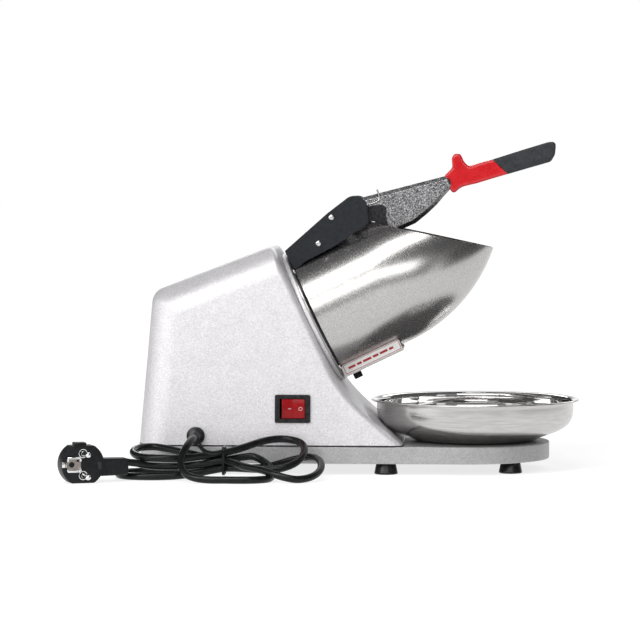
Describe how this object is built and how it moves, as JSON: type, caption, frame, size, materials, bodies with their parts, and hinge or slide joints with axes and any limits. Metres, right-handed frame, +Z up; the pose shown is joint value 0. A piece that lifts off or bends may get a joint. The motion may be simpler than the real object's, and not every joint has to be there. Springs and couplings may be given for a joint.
{
  "type": "electric shaved ice machine",
  "caption": "Tabletop electric ice shaver: silver cast housing, tilted steel hopper with a press lever, bladed disc inside, rocker switch, steel catch bowl and mains cord.",
  "frame": {"origin": "on the ground, under the middle of the machine's box without its cord", "axes": "+X from the motor housing towards the bowl, +Y away from the switch side, +Z up"},
  "size_m": [0.4552, 0.2682, 0.2955],
  "materials": {
    "cast_silver": "fine sparkle silver paint, satin, slightly uneven as sprayed on a casting",
    "brushed_steel": "stainless steel with fine turned brushing",
    "polished_steel": "polished stainless steel or bright nickel plate",
    "lever_alloy": "as-cast aluminium, lightly ground, grainy",
    "black_metal": "satin black powder coat",
    "core_steel": "bare laminated steel",
    "red_plastic": "glossy moulded red",
    "black_plastic": "fine matt texture",
    "rocker_red": "glossy deep red",
    "label_white": "off-white, smooth",
    "black_rubber": "smooth black rubber",
    "cord_pvc": "soft black PVC with a dull shine"
  },
  "bodies": {
    "root": {"base_tray": "cast_silver", "housing_shell": "cast_silver", "face_plate": "cast_silver", "hopper_drum": "brushed_steel", "outlet_chute": "brushed_steel", "front_bearing": "brushed_steel", "rear_bearing": "brushed_steel", "pivot_pin": "brushed_steel", "flange_screw_1": "brushed_steel", "flange_screw_2": "brushed_steel", "flange_screw_3": "brushed_steel", "flange_screw_4": "brushed_steel", "cheek_screw_1": "brushed_steel", "cheek_screw_2": "brushed_steel", "cheek_screw_3": "brushed_steel", "cheek_screw_4": "brushed_steel", "plug_pin_1": "polished_steel", "plug_pin_2": "polished_steel", "motor_front_bell": "lever_alloy", "motor_rear_bell": "lever_alloy", "bottom_cover": "black_metal", "motor_can": "black_metal", "bracket_cheek_near": "black_metal", "bracket_cheek_far": "black_metal", "bracket_block": "black_metal", "chute_bolt": "black_metal", "stator_core": "core_steel", "switch_body": "black_plastic", "run_capacitor": "black_plastic", "chute_label": "label_white", "terminal_block": "label_white", "foot_1": "black_rubber", "foot_2": "black_rubber", "foot_3": "black_rubber", "foot_4": "black_rubber", "foot_5": "black_rubber", "foot_6": "black_rubber", "shaft_seal": "black_rubber", "cord_gland": "black_rubber", "power_cord": "cord_pvc", "plug_body": "cord_pvc", "cord_tie": "cord_pvc"},
    "rotor": {"drive_shaft": "brushed_steel", "rotor_core": "core_steel", "cooling_fan": "black_plastic", "blade_disc": "brushed_steel", "blade_1": "brushed_steel", "blade_2": "brushed_steel", "blade_3": "brushed_steel", "hub_nut": "brushed_steel"},
    "lever": {"torsion_spring": "brushed_steel", "press_lever": "lever_alloy", "press_plate": "brushed_steel", "press_plate_screw": "brushed_steel", "grip_sleeve_red": "red_plastic", "grip_sleeve_black": "black_plastic"},
    "rocker": {"switch_rocker": "rocker_red"},
    "bowl": {"ice_bowl": "polished_steel"}
  },
  "joints": [
    {"name": "lever_hinge", "type": "hinge", "parent": "root", "child": "lever", "pos_m": [-0.007, 0, 0.231], "axis": [0, -1, 0], "range_deg": [0, 95]},
    {"name": "disc_spin", "type": "hinge", "parent": "root", "child": "rotor", "pos_m": [-0.0414, 0, 0.1378], "axis": [0.9026, 0, 0.4305], "continuous": true},
    {"name": "switch_rock", "type": "hinge", "parent": "root", "child": "rocker", "pos_m": [-0.0584, -0.06925, 0.05854], "axis": [0, -0.0523, -0.9986], "range_deg": [0, 18]},
    {"name": "bowl_lift", "type": "slide", "parent": "root", "child": "bowl", "axis": [0.94, 0, 0.3412], "range_m": [0, 0.25]}
  ]
}
